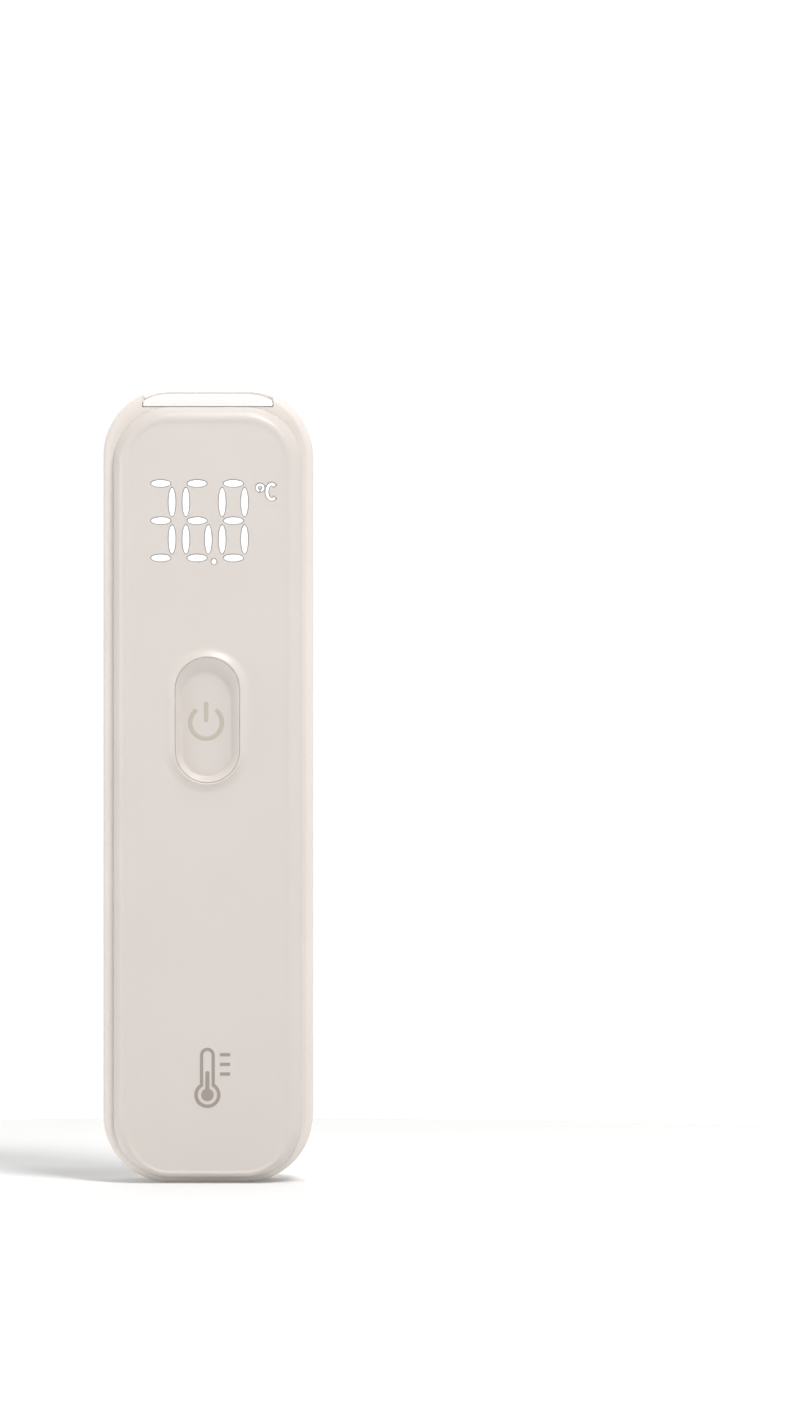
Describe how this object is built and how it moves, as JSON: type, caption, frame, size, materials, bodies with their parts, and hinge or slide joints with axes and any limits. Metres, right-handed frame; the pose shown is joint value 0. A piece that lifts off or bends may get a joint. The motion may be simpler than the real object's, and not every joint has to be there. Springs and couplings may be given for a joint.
{
  "type": "infrared forehead thermometer",
  "caption": "Slim hand-held infrared thermometer with a dished power button, a glowing display in the face, a sensor port at the top end and a hinged battery door at the back.",
  "frame": {"origin": "centre of the object's plan box at the level of its foot end", "axes": "+Z along the length from the foot to the sensor end, -Y out of the display face, +X to the right of someone reading the display"},
  "size_m": [0.0368, 0.021, 0.1399],
  "materials": {
    "shell_plastic": "warm off-white ABS, fine satin texture",
    "cover_plastic": "warm off-white cover, soft satin gloss",
    "button_plastic": "warm off-white, soft satin gloss",
    "gloss_white": "glossy near-white polycarbonate",
    "grey_print": "pad-printed grey ink",
    "icon_print": "pale grey-green printed symbol",
    "black_plastic": "black moulding compound",
    "grey_plastic": "grey nylon",
    "white_plastic": "white reflector moulding",
    "led_chips": "yellowish LED encapsulant",
    "green_board": "green solder mask",
    "steel": "nickel-plated steel",
    "can_steel": "plated can",
    "holder_aluminium": "turned aluminium",
    "small_parts": "ceramic chip parts",
    "black_rubber": "soft silicone",
    "dark_foam": "closed-cell foam",
    "dark_filter": "coated silicon infrared filter",
    "gold_pins": "gold-plated pins",
    "ribbon_film": "amber polyimide film",
    "cell_wrap": "plain printed cell sleeve",
    "wire_sleeve": "red wire insulation",
    "label_film": "blank satin label",
    "lit_segments": "milky light guide, glowing white"
  },
  "bodies": {
    "root": {"rear_shell": "shell_plastic", "front_shell": "shell_plastic", "face_cover": "cover_plastic", "face_mark": "grey_print", "tact_switch": "black_plastic", "segment_lens": "lit_segments", "display_reflector": "white_plastic", "display_leds": "led_chips", "main_board": "green_board", "controller_chip": "black_plastic", "clock_crystal": "steel", "board_components": "small_parts", "buzzer": "black_plastic", "board_screws": "steel", "sensor_cap": "gloss_white", "sensor_gasket": "black_rubber", "sensor_holder": "holder_aluminium", "sensor_can": "can_steel", "sensor_filter": "dark_filter", "sensor_pins": "gold_pins", "sensor_board": "green_board", "sensor_ribbon": "ribbon_film", "battery_left": "cell_wrap", "battery_right": "cell_wrap", "battery_springs": "steel", "contact_plates": "steel", "link_plate": "steel", "battery_leads": "wire_sleeve", "case_screws": "steel", "rating_label": "label_film"},
    "power_button": {"power_button": "button_plastic", "power_icon": "icon_print"},
    "switch_plunger": {"switch_plunger": "grey_plastic"},
    "battery_door": {"battery_door": "shell_plastic", "door_foam": "dark_foam"}
  },
  "joints": [
    {"name": "power_button", "type": "slide", "parent": "root", "child": "power_button", "axis": [0, 1, 0], "range_m": [0, 0.0005], "stiffness_N_per_m": 800, "springref_m": -0.0008},
    {"name": "switch_plunger", "type": "slide", "parent": "root", "child": "switch_plunger", "axis": [0, 1, 0], "range_m": [0, 0.0005]},
    {"name": "battery_door", "type": "hinge", "parent": "root", "child": "battery_door", "pos_m": [0, 0.0094, 0.0091], "axis": [-1, 0, 0], "range_deg": [0, 90]}
  ],
  "couplings": [
    {"joint": "switch_plunger", "follows": "power_button", "ratio": 1}
  ]
}
